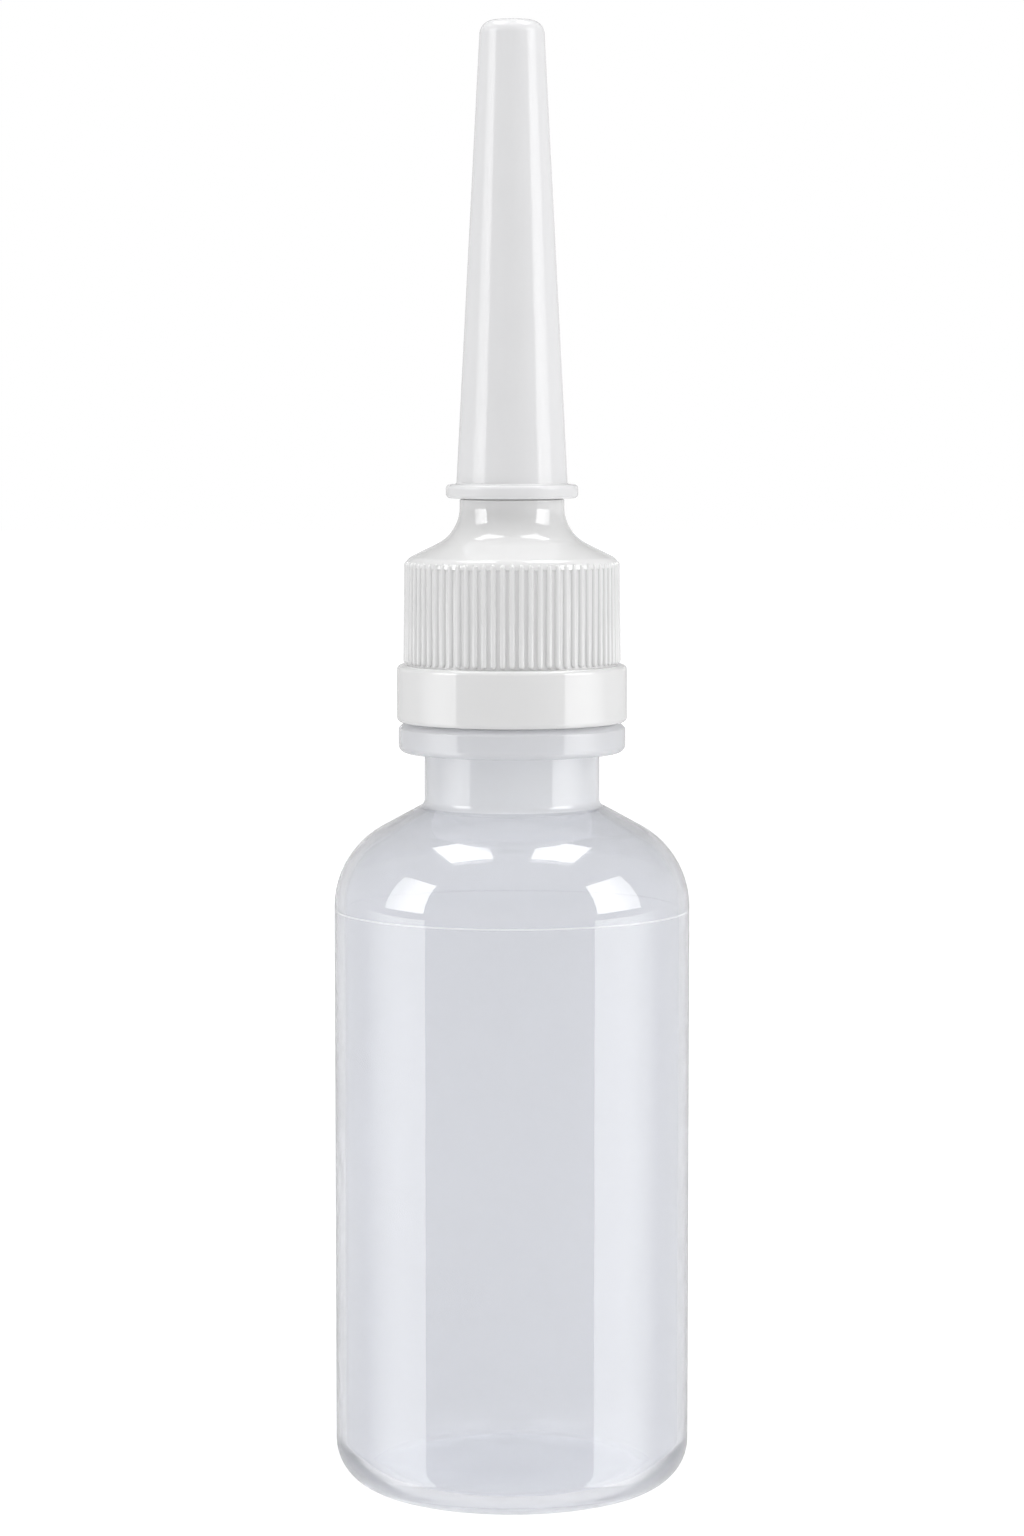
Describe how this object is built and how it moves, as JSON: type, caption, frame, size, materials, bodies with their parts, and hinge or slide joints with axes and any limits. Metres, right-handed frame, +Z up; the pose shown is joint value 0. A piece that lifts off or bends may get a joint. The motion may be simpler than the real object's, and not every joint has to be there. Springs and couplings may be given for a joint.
{
  "type": "enema bottle",
  "caption": "Soft squeeze bottle with a ribbed screw cap, a valved nozzle and a pull-off tapered tip cover.",
  "frame": {"origin": "centre of the bottle's foot ring, on the surface that it stands on", "axes": "+Z up along the axis that every piece is turned about, towards the tip cover's closed end"},
  "size_m": [0.0442, 0.0442, 0.1811],
  "materials": {
    "natural_polyethylene": "glossy, translucent, slightly bluish",
    "white_polypropylene": "smooth moulded gloss",
    "milky_polyethylene": "smooth, milky and faintly translucent",
    "soft_white_polyethylene": "soft satin",
    "clear_silicone": "satin, cloudy",
    "white_foam": "matte closed-cell foam"
  },
  "bodies": {
    "bottle_body": {"bottle": "natural_polyethylene"},
    "nozzle_set": {"nozzle": "soft_white_polyethylene", "valve_seat": "soft_white_polyethylene", "seal_washer": "white_foam"},
    "cap": {"screw_cap": "white_polypropylene"},
    "cover": {"tip_cover": "milky_polyethylene"},
    "disc": {"valve_disc": "clear_silicone"}
  },
  "joints": [
    {"name": "cap_rise", "type": "slide", "parent": "bottle_body", "child": "nozzle_set", "axis": [0, 0, 1], "range_m": [0, 0.00953]},
    {"name": "cap_turn", "type": "hinge", "parent": "nozzle_set", "child": "cap", "pos_m": [0, 0, 0.105], "axis": [0, 0, 1], "range_deg": [0, 1080]},
    {"name": "cover_pull", "type": "slide", "parent": "cap", "child": "cover", "axis": [0, 0, 1], "range_m": [0, 0.06]},
    {"name": "valve_lift", "type": "slide", "parent": "nozzle_set", "child": "disc", "axis": [0, 0, 1], "range_m": [0, 0.0008]}
  ],
  "couplings": [
    {"joint": "cap_rise", "follows": "cap_turn", "m_per_rad": 0.00050532}
  ]
}
